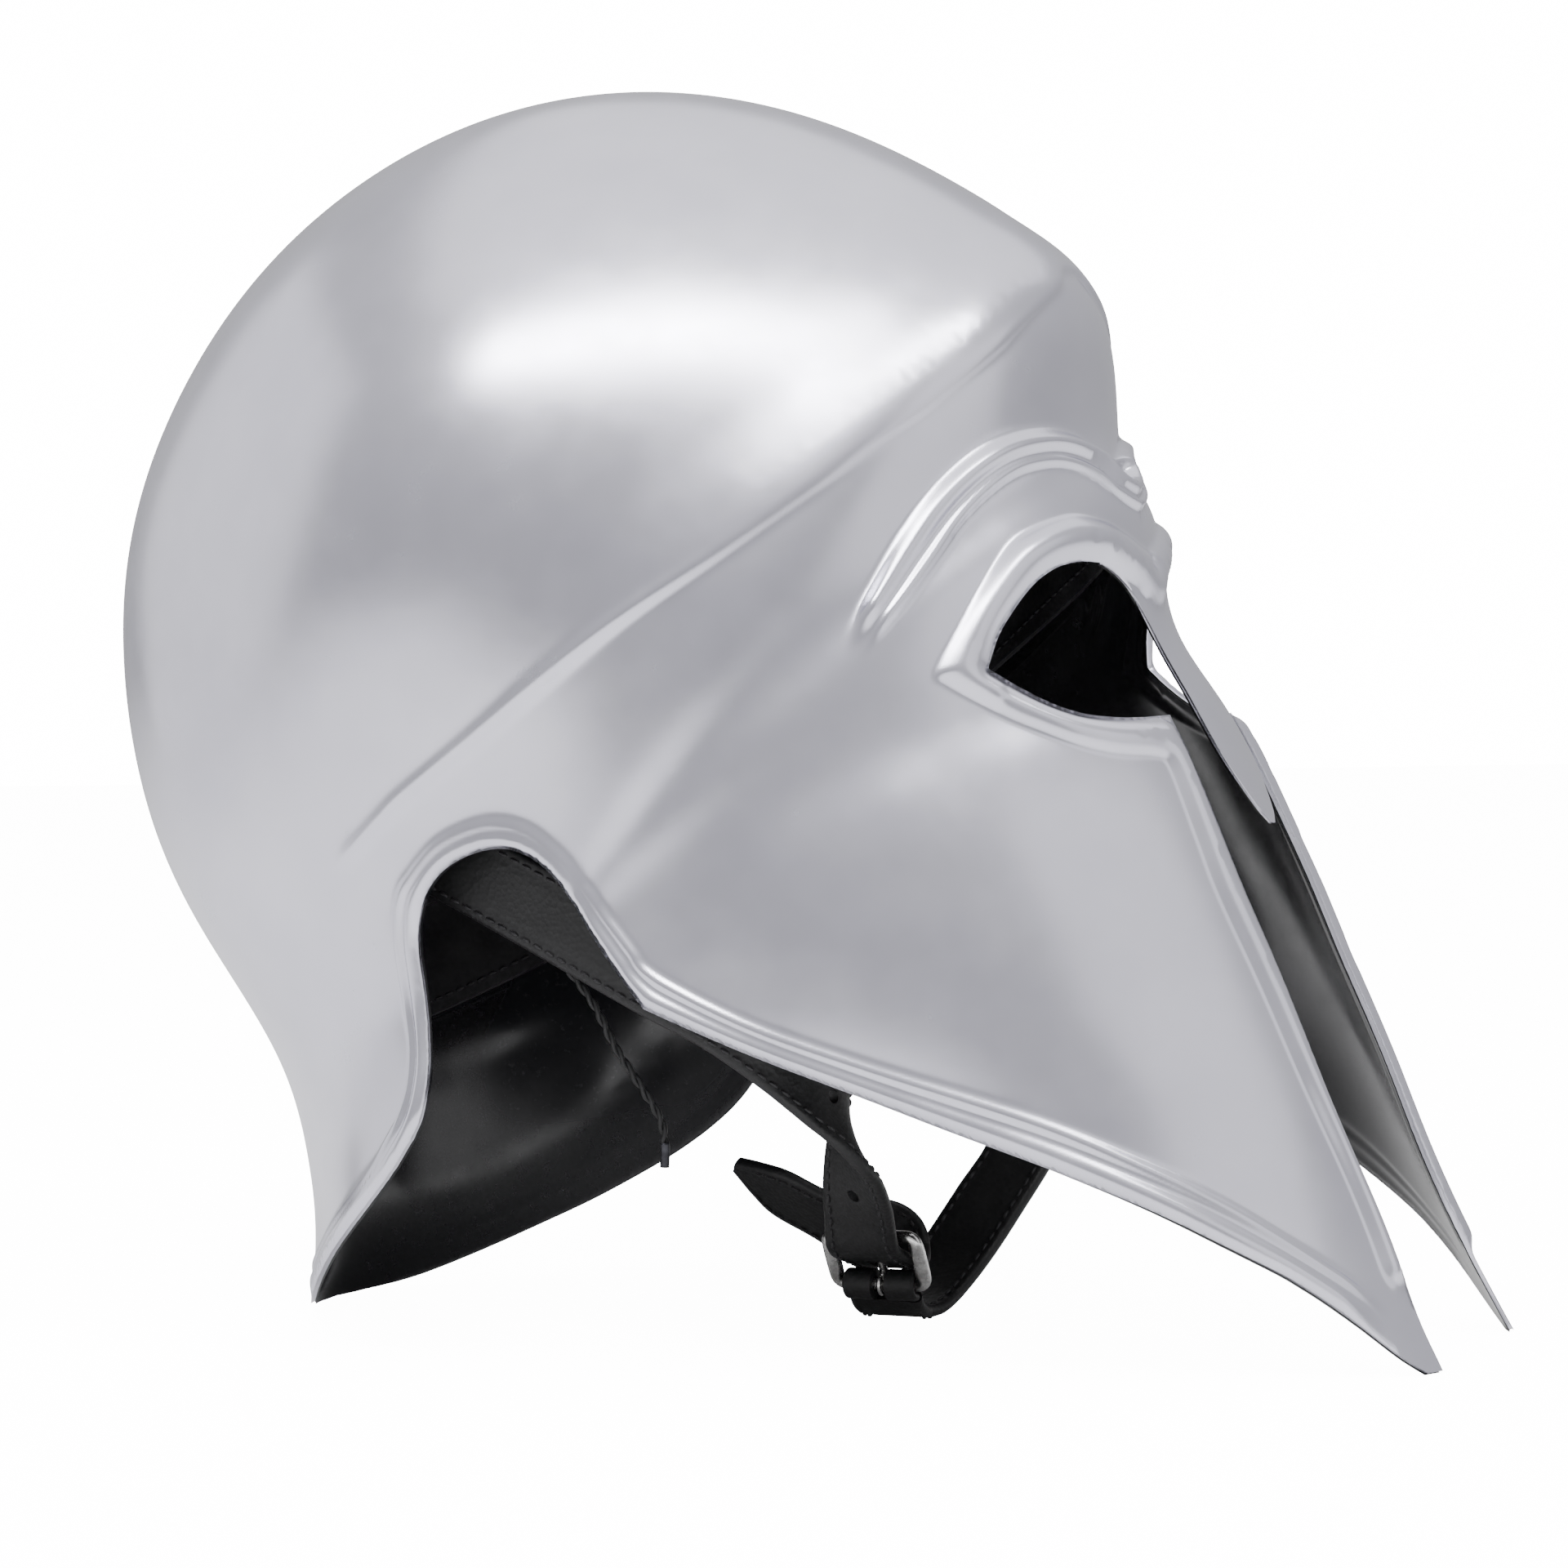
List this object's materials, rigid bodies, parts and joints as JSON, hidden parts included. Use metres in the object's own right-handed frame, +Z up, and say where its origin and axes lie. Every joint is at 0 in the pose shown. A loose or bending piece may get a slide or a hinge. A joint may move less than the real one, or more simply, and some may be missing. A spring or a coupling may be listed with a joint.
{
  "type": "corinthian helmet",
  "caption": "Closed Corinthian style steel helmet with almond eye openings, long nose and cheek guards, flared neck guard, leather liner and buckled chin strap.",
  "frame": {"origin": "middle of the helmet's footprint, on the plane it rests on", "axes": "+X towards the face opening, +Y to the wearer's left, +Z up"},
  "size_m": [0.346, 0.1946, 0.3005],
  "materials": {
    "steel_skin": "hand polished satin steel outside, black paint inside",
    "liner_leather": "smooth black leather",
    "strap_leather": "black leather, two layers, stitched along both edges",
    "lace_cord": "thin black leather lace",
    "fitting_steel": "plain steel",
    "buckle_metal": "worn nickel plate"
  },
  "bodies": {
    "helmet": {"shell_left_half": "steel_skin", "shell_right_half": "steel_skin", "liner_headband": "liner_leather", "liner_tongue_front": "liner_leather", "liner_tongue_front_left": "liner_leather", "liner_tongue_left": "liner_leather", "liner_tongue_rear_left": "liner_leather", "liner_tongue_rear_right": "liner_leather", "liner_tongue_right": "liner_leather", "liner_tongue_front_right": "liner_leather", "crown_lace": "lace_cord", "strap_stud_left": "fitting_steel", "strap_washer_left": "fitting_steel", "strap_stud_right": "fitting_steel", "strap_washer_right": "fitting_steel", "band_studs": "fitting_steel", "band_washers": "fitting_steel"},
    "chin_strap": {"chin_strap_right": "strap_leather", "chin_strap_left": "strap_leather"},
    "buckle": {"buckle_frame": "buckle_metal"},
    "prong": {"buckle_prong": "buckle_metal"},
    "lace": {"lace_tail": "lace_cord"}
  },
  "joints": [
    {"name": "chin_strap_swing", "type": "hinge", "parent": "helmet", "child": "chin_strap", "pos_m": [-0.0778, 0, 0.1303], "axis": [0, 1, 0], "range_deg": [-15, 15]},
    {"name": "buckle_tilt", "type": "hinge", "parent": "chin_strap", "child": "buckle", "pos_m": [0.0292, -0.00867, 0.01043], "axis": [1, 0, 0], "range_deg": [-3, 3]},
    {"name": "prong_pivot", "type": "hinge", "parent": "buckle", "child": "prong", "pos_m": [0.0292, -0.00867, 0.01043], "axis": [1, 0, 0], "range_deg": [-8, 0]},
    {"name": "lace_swing", "type": "hinge", "parent": "helmet", "child": "lace", "pos_m": [-0.0578, -0.08302, 0.1443], "axis": [0, 1, 0], "range_deg": [-10, 10]}
  ]
}
